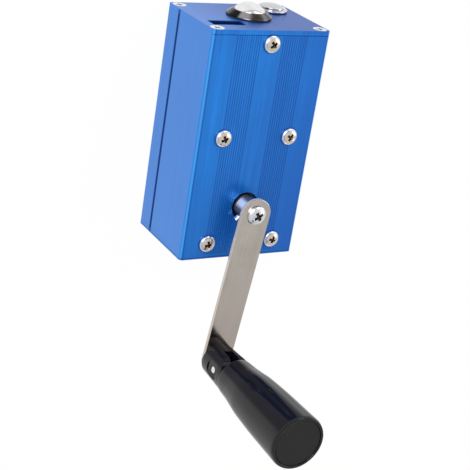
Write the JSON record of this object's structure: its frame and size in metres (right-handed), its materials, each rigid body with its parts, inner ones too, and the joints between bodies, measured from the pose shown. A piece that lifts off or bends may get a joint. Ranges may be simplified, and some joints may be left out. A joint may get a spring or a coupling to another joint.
{
  "type": "hand crank generator",
  "caption": "Hand crank generator: aluminium box with a folding revolving handle on a steel crank arm, push buttons, output slot and an inner gear train with motor",
  "frame": {"origin": "centre of the box's flat back face", "axes": "+Z leaves the crank face, +Y points at the top plate with the buttons, +X is the box's right side seen from the crank face with the buttons up"},
  "size_m": [0.0552, 0.1624, 0.1194],
  "materials": {
    "blue_paint": "blue anodised, satin",
    "screw_steel": "nickel plated",
    "plate_steel": "plain",
    "gear_steel": "oiled",
    "brass": "plain",
    "magnet": "matt",
    "black_plastic": "moulded",
    "copper": "enamelled copper",
    "board_green": "solder mask",
    "socket_shell": "tinned",
    "capacitor_sleeve": "sleeved aluminium",
    "dark_chrome": "dark polished",
    "polished_steel": "polished",
    "spring_steel": "drawn wire",
    "seal_rubber": "moulded",
    "blued_steel": "blued",
    "arm_steel": "brushed",
    "black_handle": "glossy",
    "matt_black_plastic": "matt"
  },
  "bodies": {
    "box": {"front_shell": "blue_paint", "back_cover": "blue_paint", "top_plate": "blue_paint", "bottom_plate": "blue_paint", "plate_screws": "screw_steel", "face_screws": "screw_steel", "gearbox_front_plate": "blued_steel", "gearbox_rear_plate": "plate_steel", "gearbox_pillars": "plate_steel", "gearbox_rear_screws": "screw_steel", "crank_bushes": "brass", "idler_arbors": "plate_steel", "motor_can": "plate_steel", "motor_magnets": "magnet", "motor_end_cap": "black_plastic", "motor_bushes": "brass", "motor_brushes": "magnet", "motor_screws": "screw_steel", "circuit_board": "board_green", "board_spacers": "brass", "board_screws": "screw_steel", "output_socket": "socket_shell", "socket_tongue": "black_plastic", "capacitor": "capacitor_sleeve", "power_inductor": "copper", "rectifier_parts": "black_plastic", "main_bezel": "dark_chrome", "main_nut": "screw_steel", "main_contacts": "black_plastic", "small_bezel": "polished_steel", "small_nut": "screw_steel", "small_contacts": "black_plastic", "button_seals": "seal_rubber"},
    "crank": {"crank_shaft": "plate_steel", "crank_gear": "gear_steel", "hub_collar": "blued_steel", "hub_grub_screw": "screw_steel", "hub_screw": "screw_steel", "crank_arm": "arm_steel", "handle_post": "black_handle", "post_screw": "screw_steel", "hinge_pin": "polished_steel"},
    "handle": {"handle_spindle": "plate_steel", "grip_washer": "plate_steel", "grip_screw": "screw_steel"},
    "grip_sleeve": {"grip": "black_handle", "grip_end_cap": "matt_black_plastic"},
    "idler_1": {"idler_gear_1": "gear_steel"},
    "idler_2": {"idler_gear_2": "brass"},
    "rotor": {"motor_pinion": "brass", "motor_shaft": "plate_steel", "rotor_core": "gear_steel", "rotor_windings": "copper", "commutator": "copper"},
    "main_button": {"main_plunger": "polished_steel", "main_spring": "spring_steel"},
    "small_button": {"small_plunger": "polished_steel", "small_spring": "spring_steel"}
  },
  "joints": [
    {"name": "crank_spin", "type": "hinge", "parent": "box", "child": "crank", "pos_m": [0, -0.0265, 0.0406], "axis": [0, 0, 1], "continuous": true},
    {"name": "handle_fold", "type": "hinge", "parent": "crank", "child": "handle", "pos_m": [-0.00726, -0.09441, 0.06], "axis": [-0.9943, 0.1063, 0], "range_deg": [0, 85]},
    {"name": "grip_spin", "type": "hinge", "parent": "handle", "child": "grip_sleeve", "pos_m": [-0.00726, -0.09441, 0.09], "axis": [0, 0, 1], "continuous": true},
    {"name": "idler_1_spin", "type": "hinge", "parent": "box", "child": "idler_1", "pos_m": [0, -0.0041, 0.03], "axis": [0, 0, 1], "continuous": true},
    {"name": "idler_2_spin", "type": "hinge", "parent": "box", "child": "idler_2", "pos_m": [-0.012, -0.01407, 0.027], "axis": [0, 0, 1], "continuous": true},
    {"name": "rotor_spin", "type": "hinge", "parent": "box", "child": "rotor", "pos_m": [0, -0.01407, 0.015], "axis": [0, 0, 1], "continuous": true},
    {"name": "main_press", "type": "slide", "parent": "box", "child": "main_button", "axis": [0, -1, 0], "range_m": [0, 0.0015], "stiffness_N_per_m": 500, "springref_m": -0.002},
    {"name": "small_press", "type": "slide", "parent": "box", "child": "small_button", "axis": [0, -1, 0], "range_m": [0, 0.0015], "stiffness_N_per_m": 350, "springref_m": -0.002}
  ],
  "couplings": [
    {"joint": "idler_1_spin", "follows": "crank_spin", "ratio": -3.6667},
    {"joint": "idler_2_spin", "follows": "crank_spin", "ratio": 12.222},
    {"joint": "rotor_spin", "follows": "crank_spin", "ratio": -36.667}
  ]
}
